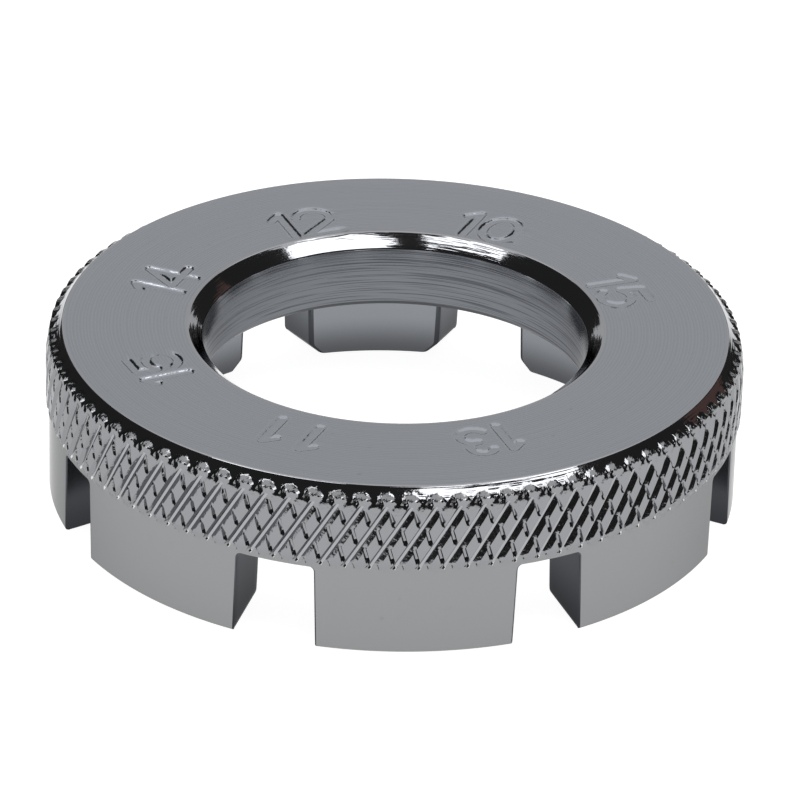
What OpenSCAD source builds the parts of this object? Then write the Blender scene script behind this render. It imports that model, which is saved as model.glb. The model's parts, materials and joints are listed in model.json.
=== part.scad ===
// Round spoke wrench: a chromed ring with a knurled rim and a skirt slotted into eight jaws.
// Each slot takes the flats of one size of spoke nipple, and the ring is the handle.
// The origin is on the bore axis in the plane of the jaws' feet, and +Z points out of the
// numbered face. Angles run from -Y towards +X, and the slot for 11 gauge nipples is at -Y.

/* [Ring] */
// Overall height, from the feet of the jaws to the numbered face
height = 10.6; // [9.6:0.1:12.6]
// Bevel at the edge of the numbered face, down to where the knurled band carries it on
face_bevel = 0.3; // [0.15:0.05:0.6]
// Diameter of the centre bore
bore_d = 23.2; // [16:0.1:28]
// Bevel at the upper end of the bore
bore_bevel = 0.8; // [0.3:0.05:1.2]
// Bevel at the lower end of the bore
bore_under_bevel = 0.45; // [0.2:0.05:0.8]
// Fillet where the underside of the ring meets the skirt
recess_fillet = 0.4; // [0.1:0.05:0.6]

/* [Skirt and jaws] */
// Radial thickness of the skirt, which is the depth of a jaw
skirt_t = 4; // [3:0.1:5]
// How far the smooth skirt lies inside the knurl's crests
skirt_inset = 0.2; // [0.1:0.05:0.4]
// Bevel on the outer edge of each jaw's foot
foot_bevel = 0.2; // [0.1:0.05:0.5]

/* [Slots] */
// Depth of the slots, from the feet to their roots
slot_depth = 5.3; // [4.5:0.1:6]
// Height of the skirt left on the inside, above the slots' roots
slot_root_t = 0.5; // [0.3:0.1:1]
// Radius in the corners of a slot's root
slot_corner_r = 0.35; // [0.2:0.05:0.6]
// Height of slot wall that stays on the ring, below the root's corners
slot_wall_stub = 0.4; // [0.2:0.05:0.8]
// Lean of each slot wall, which widens the mouth, in degrees
slot_lean = 1.8; // [0.5:0.1:4]
// Bevel on the inner upright edges of the jaws
slot_flare = 0.5; // [0.25:0.05:0.8]
// Width of the lead-in bevel under each slot wall, at the inside of the skirt
slot_lead = 0.65; // [0.3:0.05:0.9]
// Width across the slot for 10 gauge nipples, at its root
slot_10 = 5.2; // [4.9:0.05:5.6]
// Width across the slot for 11 gauge nipples
slot_11 = 4.7; // [4.4:0.05:5]
// Width across the slot for 12 gauge nipples
slot_12 = 4.4; // [4.1:0.05:4.7]
// Width across the slot for 13 gauge nipples
slot_13 = 4; // [3.8:0.05:4.3]
// Width across the slot for 14 gauge nipples
slot_14 = 3.7; // [3.5:0.05:3.9]
// Width across the slot for 15 gauge nipples
slot_15 = 3.45; // [3.3:0.05:3.6]
// Width across the slot for slim 15 gauge nipples
slot_15_slim = 3.25; // [3.1:0.05:3.4]
// Width across the slot with no number
slot_plain = 3.7; // [3.4:0.05:4.2]

/* [Knurl] */
// Diameter across the knurl's crests, the largest of the wrench
knurl_d = 42; // [38:0.5:48]
// Diamonds in one turn of the rim
knurl_teeth = 92; // [72:4:108]
// Angle between the grooves and the wrench's axis, in degrees
knurl_angle = 31; // [26:1:36]
// Depth of the grooves
knurl_depth = 0.45; // [0.25:0.05:0.6]
// Width of a groove between two diamonds, measured round the rim
knurl_groove_w = 0.54; // [0.35:0.02:0.7]
// Rise of each diamond's middle above its corners
knurl_crown = 0.05; // [0.02:0.01:0.1]
// Metal under the grooves, down to the core of the ring
knurl_skin = 0.25; // [0.15:0.05:0.5]
// Thickness of the knurled band at its upper edge
knurl_lip = 0.1; // [0.05:0.01:0.2]
// Smooth rim between the slots' roots and the knurl
rim_h = 0.3; // [0.2:0.05:0.8]
// Height over which the lowest diamonds rise from the skirt
knurl_run_in = 0.4; // [0.2:0.05:0.8]

/* [Fits] */
// Gap between the core of the ring and the knurled band round it
seat_gap = 0.01; // [0.005:0.005:0.03]

/* [Hidden] */
$fn = 128;

chrome = [0.72, 0.73, 0.76];

// Slot widths in their order round the skirt, from -Y towards +X
slot_widths = [slot_11, slot_13, slot_plain, slot_15_slim, slot_10, slot_12, slot_14, slot_15];
slot_step = 360 / len(slot_widths);
// How far a cut runs past the face that it opens
cut_over = 1;
// Thickness of the slices that a tapering cut is drawn between
slice_t = 0.01;

knurl_r = knurl_d / 2;
skirt_r = knurl_r - skirt_inset;
skirt_inner_r = skirt_r - skirt_t;
core_r = knurl_r - knurl_depth - knurl_skin;
face_r = core_r - face_bevel;
bore_r = bore_d / 2;
recess_z = slot_depth + slot_root_t;
slot_corner_z = slot_depth - slot_corner_r;
jaw_h = slot_corner_z - slot_wall_stub;

// The knurl is a lattice of diamonds in rows half a diamond apart, each row turned half a pitch
knurl_z0 = slot_depth + rim_h;
knurl_z1 = height - face_bevel - knurl_lip;
knurl_pitch_a = 360 / knurl_teeth;
knurl_half_pitch = PI * knurl_r / knurl_teeth;
knurl_rows = 2 * max(1, round((knurl_z1 - knurl_z0) * tan(knurl_angle) / knurl_half_pitch / 2));
knurl_row_h = (knurl_z1 - knurl_z0) / knurl_rows;
knurl_land = 1 - knurl_groove_w / 2 / knurl_half_pitch;

module ring_profile() {
    polygon([
        [bore_r, recess_z + bore_under_bevel],
        [bore_r + bore_under_bevel, recess_z],
        [skirt_inner_r, recess_z],
        [skirt_inner_r, jaw_h],
        [skirt_r, jaw_h],
        [skirt_r, knurl_z0],
        [core_r, knurl_z0],
        [core_r, height - face_bevel],
        [face_r, height],
        [bore_r + bore_bevel, height],
        [bore_r, height - bore_bevel]
    ]);
    translate([skirt_inner_r - recess_fillet, recess_z - recess_fillet])
        difference() {
            square(recess_fillet);
            circle(recess_fillet);
        }
}

// Section of a jaw, with a bevel at the outer edge of its foot
module jaw_profile() {
    polygon([
        [skirt_inner_r, 0],
        [skirt_r - foot_bevel, 0],
        [skirt_r, foot_bevel],
        [skirt_r, jaw_h],
        [skirt_inner_r, jaw_h]
    ]);
}

// Outline of a slot seen along its length: leaning walls below, round corners at the root
module slot_outline(width) {
    half = width / 2;
    mouth = half + (slot_corner_z + cut_over) * tan(slot_lean);
    corner_x = half - slot_corner_r;
    polygon([[-half, slot_corner_z], [-mouth, -cut_over], [mouth, -cut_over], [half, slot_corner_z]]);
    translate([-corner_x, 0])
        square([2 * corner_x, slot_depth]);
    for (side = [-1, 1])
        translate([side * corner_x, slot_corner_z])
            circle(slot_corner_r);
}

// Width of the lead-in bevel at a distance from the axis: it starts at the outer edge of the foot
function lead_at(r) = slot_lead * (skirt_r - foot_bevel - r) / (skirt_t - foot_bevel);

// Lead-in bevels at 45 degrees under both walls of a slot, wider towards the inside
module slot_lead_cut(width) {
    mouth = width / 2 + slot_corner_z * tan(slot_lean);
    hull()
        for (r = [skirt_r - foot_bevel, skirt_inner_r - cut_over]) {
            reach = mouth + lead_at(r);
            translate([0, -r, 0])
                rotate([90, 0, 0])
                    linear_extrude(slice_t)
                        polygon([[-reach - cut_over, -cut_over], [reach + cut_over, -cut_over], [0, reach]]);
        }
}

// One slot, cut through the skirt at -Y, with its inner upright edges bevelled
module slot_cut(width) {
    half = width / 2;
    edge_y = sqrt(skirt_inner_r * skirt_inner_r - half * half);
    flare_over = slot_flare + cut_over;
    translate([0, -(skirt_inner_r - flare_over), 0])
        rotate([90, 0, 0])
            linear_extrude(skirt_t + flare_over + cut_over)
                slot_outline(width);
    translate([0, 0, -cut_over])
        linear_extrude(slot_depth + cut_over)
            polygon([
                [-half, -(edge_y + slot_flare)],
                [half, -(edge_y + slot_flare)],
                [half + flare_over, -(edge_y - cut_over)],
                [-half - flare_over, -(edge_y - cut_over)]
            ]);
}

module top_ring() {
    color(chrome)
        difference() {
            rotate_extrude()
                ring_profile();
            for (k = [0 : len(slot_widths) - 1])
                rotate(k * slot_step)
                    slot_cut(slot_widths[k]);
        }
}

// The jaw between slot k and the next slot round the skirt
module jaw(k) {
    color(chrome)
        rotate(k * slot_step)
            difference() {
                rotate(-90)
                    rotate_extrude(angle = slot_step)
                        jaw_profile();
                for (side = [0, 1])
                    rotate(side * slot_step) {
                        slot_cut(slot_widths[(k + side) % len(slot_widths)]);
                        slot_lead_cut(slot_widths[(k + side) % len(slot_widths)]);
                    }
            }
}

// Radius of the diamonds' faces at a height: they rise from the skirt and end in the face's bevel
function crest_r(z) =
    min(knurl_r, skirt_r + (z - knurl_z0) / knurl_run_in * skirt_inset, face_r + height - z);

function floor_r(z) = min(knurl_r - knurl_depth, crest_r(z));

function on_rim(r, a, z) = [r * cos(a), r * sin(a), z];

// Points of diamond i in row j: the crossing to its right, its left, right, lower and upper
// corners, and its middle. The first and last rows hold half diamonds.
function diamond_points(j, i) =
    let (
        a = (i + (j % 2) / 2) * knurl_pitch_a,
        z = knurl_z0 + j * knurl_row_h,
        land_a = knurl_land * knurl_pitch_a / 2,
        low = max(knurl_z0, z - knurl_land * knurl_row_h),
        high = min(knurl_z1, z + knurl_land * knurl_row_h),
        mid = (low + high) / 2
    ) [
        on_rim(floor_r(z), a + knurl_pitch_a / 2, z),
        on_rim(crest_r(z), a - land_a, z),
        on_rim(crest_r(z), a + land_a, z),
        on_rim(crest_r(low), a, low),
        on_rim(crest_r(high), a, high),
        on_rim(min(knurl_r, crest_r(mid) + knurl_crown), a, mid)
    ];

// Places of those points in the list
points_per_diamond = 6;
function crossing(j, i) = points_per_diamond * (j * knurl_teeth + (i + knurl_teeth) % knurl_teeth);
function left(j, i) = crossing(j, i) + 1;
function right(j, i) = crossing(j, i) + 2;
function low(j, i) = crossing(j, i) + 3;
function high(j, i) = crossing(j, i) + 4;
function middle(j, i) = crossing(j, i) + 5;
// The crossing at the tip of diamond i of row j, in the row above or below
function tip(j, i, to_row) = crossing(to_row, j % 2 == 0 ? i - 1 : i);
function bore_low(i) = crossing(knurl_rows + 1, 0) + (i + knurl_teeth) % knurl_teeth;
function bore_high(i) = bore_low(i) + knurl_teeth;

function land_faces(j, i) = [
    [left(j, i), high(j, i), middle(j, i)],
    [high(j, i), right(j, i), middle(j, i)],
    [right(j, i), low(j, i), middle(j, i)],
    [low(j, i), left(j, i), middle(j, i)]
];
function upper_flanks(j, i) = [
    [high(j, i), tip(j, i, j + 1), crossing(j, i)],
    [high(j, i), crossing(j, i), right(j, i)],
    [crossing(j, i - 1), tip(j, i, j + 1), high(j, i)],
    [crossing(j, i - 1), high(j, i), left(j, i)]
];
function lower_flanks(j, i) = [
    [right(j, i), crossing(j, i), tip(j, i, j - 1)],
    [right(j, i), tip(j, i, j - 1), low(j, i)],
    [low(j, i), tip(j, i, j - 1), crossing(j, i - 1)],
    [low(j, i), crossing(j, i - 1), left(j, i)]
];
function end_faces(i) =
    let (top = knurl_rows) [
        [crossing(0, i - 1), left(0, i), low(0, i), right(0, i), crossing(0, i),
            bore_low(i), bore_low(i - 1)],
        [bore_high(i - 1), bore_high(i), crossing(top, i), right(top, i), high(top, i), left(top, i),
            crossing(top, i - 1)],
        [bore_low(i - 1), bore_low(i), bore_high(i), bore_high(i - 1)]
    ];

module knurled_band() {
    teeth = [0 : knurl_teeth - 1];
    // The bore is a polygon whose flats clear the ring's core
    bore_corner_r = (core_r + seat_gap) / cos(knurl_pitch_a / 2);
    points = concat(
        [for (j = [0 : knurl_rows]) for (i = teeth) each diamond_points(j, i)],
        [for (z = [knurl_z0, knurl_z1]) for (i = teeth)
            on_rim(bore_corner_r, (i + 0.5) * knurl_pitch_a, z)]
    );
    faces = concat(
        [for (j = [0 : knurl_rows]) for (i = teeth) each land_faces(j, i)],
        [for (j = [0 : knurl_rows - 1]) for (i = teeth) each upper_flanks(j, i)],
        [for (j = [1 : knurl_rows]) for (i = teeth) each lower_flanks(j, i)],
        [for (i = teeth) each end_faces(i)]
    );
    color(chrome)
        polyhedron(points, faces);
}

top_ring();
knurled_band();
jaw(0);  // jaw_11_13
jaw(1);  // jaw_13_plain
jaw(2);  // jaw_plain_15_slim
jaw(3);  // jaw_15_slim_10
jaw(4);  // jaw_10_12
jaw(5);  // jaw_12_14
jaw(6);  // jaw_14_15
jaw(7);  // jaw_15_11
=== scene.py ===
"""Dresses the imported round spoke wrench: a chromed ring, its knurled rim and eight jaws.

Sizes are in millimetres and become metres when a mesh is made. Angles are in degrees, measured
round the bore axis from -Y towards +X, as in the part's source.
"""

from __future__ import annotations

import json
import logging
import math
from dataclasses import dataclass, field, replace
from enum import Enum, IntEnum

import bmesh
import bpy
import numpy as np
from bpy.types import ID, Material, Mesh, Node, NodeSocket, NodeTree, Object
from mathutils import Matrix, Vector

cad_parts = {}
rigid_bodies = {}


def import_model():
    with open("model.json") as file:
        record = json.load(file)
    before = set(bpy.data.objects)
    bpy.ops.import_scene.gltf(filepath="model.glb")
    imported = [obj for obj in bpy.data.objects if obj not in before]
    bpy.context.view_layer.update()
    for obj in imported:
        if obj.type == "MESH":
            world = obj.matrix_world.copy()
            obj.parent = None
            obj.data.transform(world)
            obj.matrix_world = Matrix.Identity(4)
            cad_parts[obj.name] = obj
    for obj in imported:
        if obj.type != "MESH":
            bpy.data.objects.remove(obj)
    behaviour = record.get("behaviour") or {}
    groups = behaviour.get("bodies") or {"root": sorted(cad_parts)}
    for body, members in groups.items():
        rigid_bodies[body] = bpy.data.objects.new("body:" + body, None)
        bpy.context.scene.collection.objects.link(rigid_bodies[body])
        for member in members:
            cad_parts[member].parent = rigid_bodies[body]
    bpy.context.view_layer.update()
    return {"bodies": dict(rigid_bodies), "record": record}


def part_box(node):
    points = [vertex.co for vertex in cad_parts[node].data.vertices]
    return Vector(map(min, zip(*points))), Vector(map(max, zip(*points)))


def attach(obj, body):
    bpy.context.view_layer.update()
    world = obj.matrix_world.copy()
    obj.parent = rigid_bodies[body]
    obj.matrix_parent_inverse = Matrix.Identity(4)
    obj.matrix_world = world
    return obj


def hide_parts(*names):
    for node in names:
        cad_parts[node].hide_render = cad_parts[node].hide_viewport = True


LOG = logging.getLogger("spoke_wrench")
MM = 0.001
PHOTO_SIDE = 800
FULL_TURN = 360.0
HALF_TURN = 180.0
QUARTER_TURN = 90.0
SAME_PLACE = 1e-6
LEVEL_PLANE = (1.0, 1.0, 0.0)

Point2 = tuple[float, float]
Stroke = list[Point2]
Colour = tuple[float, float, float]
Feeds = dict[str | int, NodeSocket | float | tuple[float, ...]]


def smooth_step(low: float, high: float, value: np.ndarray) -> np.ndarray:
    """Rise smoothly from 0 to 1 between two values.

    Args:
        low: Value at which the rise starts.
        high: Value at which it ends.
        value: Values to map.

    Returns:
        The rise at each value, from 0 to 1.
    """
    part = np.clip((value - low) / (high - low), 0.0, 1.0)
    return part * part * (3.0 - 2.0 * part)


def soft_lower(first: np.ndarray, second: np.ndarray, blend: float) -> np.ndarray:
    """Take the lower of two curves, with a round of about the blend where they meet.

    Args:
        first: One curve.
        second: The other curve.
        blend: Size of the round.

    Returns:
        The lower curve, rounded.
    """
    half = 0.5 * (first + second)
    return half - 0.5 * np.sqrt((first - second) ** 2 + blend * blend)


def soft_higher(first: np.ndarray, second: np.ndarray, blend: float) -> np.ndarray:
    """Return the higher of two curves, with a round of about the blend where they meet."""
    return -soft_lower(-first, -second, blend)


def round_the_axis(radius: np.ndarray, angle: np.ndarray, height: np.ndarray) -> np.ndarray:
    """Place points by radius, angle and height.

    Args:
        radius: Distance from the bore axis.
        angle: Angle from -Y towards +X, in degrees.
        height: Height over the feet.

    Returns:
        An array of points, one row each.
    """
    turn = np.radians(angle)
    return np.stack([radius * np.sin(turn), -radius * np.cos(turn), height], axis=-1)


def new_mesh(name: str, points: np.ndarray, faces: list[tuple[int, ...]]) -> Mesh:
    """Make a mesh from points in millimetres.

    Args:
        name: Name of the mesh.
        points: One row for each point.
        faces: Point numbers of each face.

    Returns:
        The mesh, in metres.
    """
    mesh = bpy.data.meshes.new(name)
    mesh.from_pydata((points * MM).tolist(), [], faces)
    mesh.update()
    return mesh


def grid_faces(rows: int, columns: int, round_rows: bool, round_columns: bool) -> list[tuple[int, ...]]:
    """List the faces between the points of a grid, row by row.

    Args:
        rows: Number of rows of points.
        columns: Number of points in each row.
        round_rows: Whether the last row meets the first one.
        round_columns: Whether the end of each row meets its start.

    Returns:
        The point numbers of each face.
    """
    faces = []
    for row in range(rows if round_rows else rows - 1):
        here, there = row * columns, (row + 1) % rows * columns
        for column in range(columns if round_columns else columns - 1):
            follow = (column + 1) % columns
            faces.append((here + column, here + follow, there + follow, there + column))
    return faces


def add_object(name: str, data: ID) -> Object:
    """Put a mesh, a light or a camera into the scene at the origin.

    Args:
        name: Name of the object.
        data: What it shows.

    Returns:
        The new object.
    """
    thing = bpy.data.objects.new(name, data)
    bpy.context.scene.collection.objects.link(thing)
    return thing


def smooth_faces(mesh: Mesh, crease: float) -> None:
    """Shade a mesh smooth, and keep the edges that turn by more than the crease angle sharp.

    Args:
        mesh: Mesh to shade.
        crease: Angle in degrees.
    """
    mesh.shade_smooth()
    mesh.set_sharp_from_angle(angle=math.radians(crease))


def socket_of(sockets: bpy.types.bpy_prop_collection, label: str | int) -> NodeSocket:
    """Find a socket of a node.

    Args:
        sockets: The node's inputs or outputs.
        label: Number, identifier or name of the socket.

    Returns:
        The first socket that the label fits.
    """
    if isinstance(label, int):
        return sockets[label]
    return next(one for one in sockets if label in (one.identifier, one.name))


def new_group(
    name: str, kind: str, inputs: dict[str, str], outputs: dict[str, str]
) -> tuple[NodeTree, Node, Node]:
    """Make a node group with named sockets.

    Args:
        name: Name of the group.
        kind: Kind of its tree.
        inputs: Kind of each input, by its name.
        outputs: Kind of each output, by its name.

    Returns:
        The group, and the nodes that hold its inputs and its outputs.
    """
    group = bpy.data.node_groups.new(name, kind)
    for way, sockets in (("INPUT", inputs), ("OUTPUT", outputs)):
        for label, socket in sockets.items():
            group.interface.new_socket(name=label, in_out=way, socket_type=f"NodeSocket{socket}")
    return group, group.nodes.new("NodeGroupInput"), group.nodes.new("NodeGroupOutput")


def feed_node(tree: NodeTree, node: Node, feeds: Feeds) -> None:
    """Feed the inputs of a node.

    Args:
        tree: The node's tree.
        node: The node.
        feeds: What each input gets, by the input's label: a value, or another node's output.
    """
    for label, feed in feeds.items():
        socket = socket_of(node.inputs, label)
        if isinstance(feed, NodeSocket):
            tree.links.new(feed, socket)
        else:
            socket.default_value = feed


def add_node(tree: NodeTree, kind: str, feeds: Feeds, **settings: str | NodeTree) -> Node:
    """Add a node to a tree.

    Args:
        tree: The tree.
        kind: Kind of the node.
        feeds: What its inputs get.
        settings: The node's own settings, by name.

    Returns:
        The node.
    """
    node = tree.nodes.new(kind)
    for name, setting in settings.items():
        setattr(node, name, setting)
    feed_node(tree, node, feeds)
    return node


def result_of(tree: NodeTree, kind: str, feeds: Feeds, **settings: str) -> NodeSocket:
    """Add a node whose first result is what counts.

    Args:
        tree: The tree.
        kind: Kind of the node.
        feeds: What its inputs get.
        settings: The node's own settings, by name.

    Returns:
        The node's first output that is in use.
    """
    node = add_node(tree, kind, feeds, **settings)
    return next(output for output in node.outputs if output.enabled)


class LineKind(Enum):
    """How the tool marks of a turned surface run."""

    NONE = "none"
    ROUND = "Round"
    LEVEL = "Level"


def tool_lines_group() -> NodeTree:
    """Make the shader group for the fine lines that a lathe leaves, once.

    The lines run round the bore axis, and each changes slowly along its way. Evenness 0 gives
    lines of uneven width and depth, and evenness 1 a regular wave.

    Returns:
        The group, with lines on the radius and lines on the height.
    """
    name = "tool_lines"
    line_detail = 2.0
    group = bpy.data.node_groups.get(name)
    if group is not None:
        return group
    group, entry, leave = new_group(
        name, "ShaderNodeTree",
        {"Position": "Vector", "Pitch": "Float", "Variety": "Float", "Evenness": "Float"},
        {LineKind.ROUND.value: "Float", LineKind.LEVEL.value: "Float"},
    )
    given = entry.outputs
    flat = result_of(
        group, "ShaderNodeVectorMath", {0: given["Position"], 1: LEVEL_PLANE}, operation="MULTIPLY"
    )
    radius = result_of(group, "ShaderNodeVectorMath", {0: flat}, operation="LENGTH")
    course = result_of(group, "ShaderNodeVectorMath", {0: flat}, operation="NORMALIZE")
    drift = result_of(
        group, "ShaderNodeVectorMath", {0: course, "Scale": given["Variety"]}, operation="SCALE"
    )
    height = add_node(group, "ShaderNodeSeparateXYZ", {0: given["Position"]}).outputs["Z"]
    for kind, source in {LineKind.ROUND: radius, LineKind.LEVEL: height}.items():
        count = result_of(group, "ShaderNodeMath", {0: source, 1: given["Pitch"]}, operation="DIVIDE")
        rise = result_of(group, "ShaderNodeCombineXYZ", {"Z": count})
        place = result_of(group, "ShaderNodeVectorMath", {0: drift, 1: rise}, operation="ADD")
        uneven = result_of(
            group, "ShaderNodeTexNoise", {"Vector": place, "Scale": 1.0, "Detail": line_detail}
        )
        phase = result_of(group, "ShaderNodeMath", {0: count, 1: uneven}, operation="ADD")
        turns = result_of(group, "ShaderNodeMath", {0: phase, 1: 2.0 * math.pi}, operation="MULTIPLY")
        wave = result_of(group, "ShaderNodeMath", {0: turns}, operation="SINE")
        level = result_of(group, "ShaderNodeMapRange", {"Value": wave, "From Min": -1.0})
        lines = result_of(
            group, "ShaderNodeMix",
            {"Factor_Float": given["Evenness"], "A_Float": uneven, "B_Float": level},
            data_type="FLOAT",
        )
        feed_node(group, leave, {kind.value: lines})
    return group


def plating_wear_group() -> NodeTree:
    """Make the shader group for the specks, the uneven gloss and the grain of the plating, once.

    Returns:
        The group, with a mask of specks, a soft cloud and a fine grain.
    """
    name = "plating_wear"
    speck_detail, cloud_detail, grain_detail = 3.0, 4.0, 2.0
    speck_start, speck_full = 0.70, 0.78
    cloud_scale = 260.0
    group = bpy.data.node_groups.get(name)
    if group is not None:
        return group
    group, entry, leave = new_group(
        name, "ShaderNodeTree",
        {"Position": "Vector", "Speck Scale": "Float", "Speck Amount": "Float", "Grain Scale": "Float"},
        {"Specks": "Float", "Cloud": "Float", "Grain": "Float"},
    )
    given = entry.outputs
    place = given["Position"]
    specks = result_of(
        group, "ShaderNodeTexNoise",
        {"Vector": place, "Scale": given["Speck Scale"], "Detail": speck_detail},
    )
    mask = result_of(group, "ShaderNodeMapRange", {
        "Value": specks, "From Min": speck_start, "From Max": speck_full,
        "To Max": given["Speck Amount"],
    })
    cloud = result_of(
        group, "ShaderNodeTexNoise", {"Vector": place, "Scale": cloud_scale, "Detail": cloud_detail}
    )
    grain = result_of(
        group, "ShaderNodeTexNoise",
        {"Vector": place, "Scale": given["Grain Scale"], "Detail": grain_detail},
    )
    feed_node(group, leave, {"Specks": mask, "Cloud": cloud, "Grain": grain})
    return group


def height_fade_group() -> NodeTree:
    """Make the shader group for painted shade that darkens the plating towards the feet, once.

    Returns:
        The group: its share is 1 below the low height and 0 above the high one.
    """
    name = "height_fade"
    group = bpy.data.node_groups.get(name)
    if group is not None:
        return group
    group, entry, leave = new_group(
        name, "ShaderNodeTree",
        {"Position": "Vector", "Low": "Float", "High": "Float"}, {"Share": "Float"},
    )
    given = entry.outputs
    height = add_node(group, "ShaderNodeSeparateXYZ", {0: given["Position"]}).outputs["Z"]
    foot_shade = result_of(group, "ShaderNodeMapRange", {
        "Value": height, "From Min": given["Low"], "From Max": given["High"],
        "To Min": 1.0, "To Max": 0.0,
    }, interpolation_type="SMOOTHSTEP")
    feed_node(group, leave, {"Share": foot_shade})
    return group


@dataclass(frozen=True)
class ChromeFinish:
    """One state of the chrome plating: how bright, how rough, and which tool marks it has."""

    name: str
    colour: Colour = (0.36, 0.366, 0.384)
    rough_low: float = 0.10
    rough_high: float = 0.16
    lines: LineKind = LineKind.NONE
    line_pitch: float = 0.25
    line_depth: float = 0.004
    line_variety: float = 5.0
    line_evenness: float = 0.0
    line_tint: float = 0.0
    line_ramp: tuple[float, float] = (0.35, 0.70)
    line_share: float = 0.35
    grain_depth: float = 0.0
    grain_scale: float = 2600.0
    speck_scale: float = 1500.0
    speck_amount: float = 0.15
    speck_colour: Colour = (0.18, 0.10, 0.07)
    edge_tint: float = 1.0
    # Painted shade: the plating is darkened by this share towards the feet, between these heights.
    fade_heights: tuple[float, float] | None = None
    fade_share: float = 0.4

    def material(self) -> Material:
        """Make the material of this finish, once.

        Returns:
            The material.
        """
        made = bpy.data.materials.get(self.name)
        if made is not None:
            return made
        made = bpy.data.materials.new(self.name)
        made.use_nodes = True
        tree = made.node_tree
        shader = tree.nodes["Principled BSDF"]
        place = add_node(tree, "ShaderNodeTexCoord", {}).outputs["Object"]
        wear = add_node(tree, "ShaderNodeGroup", {
            "Position": place, "Speck Scale": self.speck_scale, "Speck Amount": self.speck_amount,
            "Grain Scale": self.grain_scale,
        }, node_tree=plating_wear_group())
        line = self.tool_line(tree, place)
        plating = (*self.colour, 1.0)
        if line is not None and self.line_tint > 0.0:
            marks = result_of(tree, "ShaderNodeMapRange", {
                "Value": line, "From Min": self.line_ramp[0], "From Max": self.line_ramp[1],
                "To Max": self.line_tint,
            })
            plating = self.blend(tree, marks, plating, self.darker(self.line_share))
        # Painted shade towards the feet.
        if self.fade_heights is not None:
            foot_shade = self.height_fade(tree, place)
            plating = self.blend(tree, foot_shade, plating, self.darker(self.fade_share))
        rough = result_of(tree, "ShaderNodeMapRange", {
            "Value": wear.outputs["Cloud"], "To Min": self.rough_low, "To Max": self.rough_high,
        })
        feed_node(tree, shader, {
            "Metallic": 1.0, "Specular Tint": (self.edge_tint, self.edge_tint, self.edge_tint, 1.0),
            "Base Color": self.blend(tree, wear.outputs["Specks"], plating, self.speck_colour),
            "Roughness": rough,
        })
        self.add_relief(tree, line, wear.outputs["Grain"], shader)
        return made

    def darker(self, share: float) -> Colour:
        """Return the plating's colour at a share of its brightness."""
        return tuple(share * part for part in self.colour)

    def height_fade(self, tree: NodeTree, place: NodeSocket) -> NodeSocket:
        """Add the painted shade that darkens the plating towards the feet.

        Args:
            tree: The material's node tree.
            place: Where a point lies on the object.

        Returns:
            How much painted shade darkens the plating at each height.
        """
        low, high = self.fade_heights
        foot_shade = add_node(
            tree, "ShaderNodeGroup", {"Position": place, "Low": low * MM, "High": high * MM},
            node_tree=height_fade_group(),
        )
        return foot_shade.outputs["Share"]

    @staticmethod
    def blend(
        tree: NodeTree, share: NodeSocket, first: NodeSocket | tuple[float, ...], other: Colour
    ) -> NodeSocket:
        """Blend from one colour to another.

        Args:
            tree: The material's node tree.
            share: How much of the other colour shows at each place.
            first: The first colour, or the output that has it.
            other: The other colour.

        Returns:
            The colour at each place.
        """
        return result_of(
            tree, "ShaderNodeMix", {"Factor_Float": share, "A_Color": first, "B_Color": (*other, 1.0)},
            data_type="RGBA",
        )

    def tool_line(self, tree: NodeTree, place: NodeSocket) -> NodeSocket | None:
        """Add the tool marks.

        Args:
            tree: The material's node tree.
            place: Where a point lies on the object.

        Returns:
            The height of the marks, or nothing where the finish has none.
        """
        if self.lines is LineKind.NONE:
            return None
        lines = add_node(tree, "ShaderNodeGroup", {
            "Position": place, "Pitch": self.line_pitch * MM, "Variety": self.line_variety,
            "Evenness": self.line_evenness,
        }, node_tree=tool_lines_group())
        return lines.outputs[self.lines.value]

    def add_relief(
        self,
        tree: NodeTree,
        line: NodeSocket | None,
        grain: NodeSocket,
        shader: Node,
    ) -> None:
        """Give the material the relief of its tool marks and the unevenness of its plating.

        Args:
            tree: The material's node tree.
            line: Height of the tool marks, if it has any.
            grain: Height of the plating's unevenness.
            shader: The principled shader.
        """
        heights = [] if line is None else [(line, self.line_depth)]
        if self.grain_depth > 0.0:
            heights.append((grain, self.grain_depth))
        normal = None
        for height, depth in heights:
            feeds = {"Strength": 1.0, "Distance": depth * MM, "Height": height}
            if normal is not None:
                feeds["Normal"] = normal
            normal = result_of(tree, "ShaderNodeBump", feeds)
        if normal is not None:
            feed_node(tree, shader, {"Normal": normal})


FACE_COLOUR = (0.340, 0.357, 0.388)
TURNED_FACE = ChromeFinish(
    "turned_chrome_face", colour=FACE_COLOUR, rough_low=0.20, rough_high=0.28, lines=LineKind.ROUND,
    line_pitch=0.20, line_depth=0.004, line_variety=1.5, line_evenness=0.7, line_tint=0.10,
)
STAMPED_FIGURE = ChromeFinish(
    "stamped_chrome_figure", colour=FACE_COLOUR, rough_low=0.12, rough_high=0.20,
    grain_depth=0.028, grain_scale=2600.0,
)
TURNED_BEVEL = ChromeFinish(
    "turned_chrome_bevel", rough_low=0.05, rough_high=0.10, lines=LineKind.LEVEL,
    line_pitch=0.15, line_depth=0.015, line_variety=4.0, grain_depth=0.003,
)
POLISHED_EDGE = ChromeFinish("polished_chrome_edge", rough_low=0.04, rough_high=0.08)
# Painted shade: the bore wall is coloured darker than the plating to stand in for the shade inside the
# bore; its tinted lines are turning marks.
SHADED_BORE_WALL = ChromeFinish(
    "bored_chrome_wall", colour=(0.168, 0.177, 0.193), rough_low=0.14, rough_high=0.22, edge_tint=0.6,
    lines=LineKind.LEVEL, line_pitch=0.07, line_depth=0.004, line_variety=1.6, line_tint=0.75,
    line_ramp=(0.53, 0.62),
)
KNURLED_CHROME = ChromeFinish(
    "knurled_chrome_rim", colour=(0.268, 0.273, 0.284), rough_low=0.08, rough_high=0.16,
    grain_depth=0.020, grain_scale=3600.0, edge_tint=0.7,
)
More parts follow.
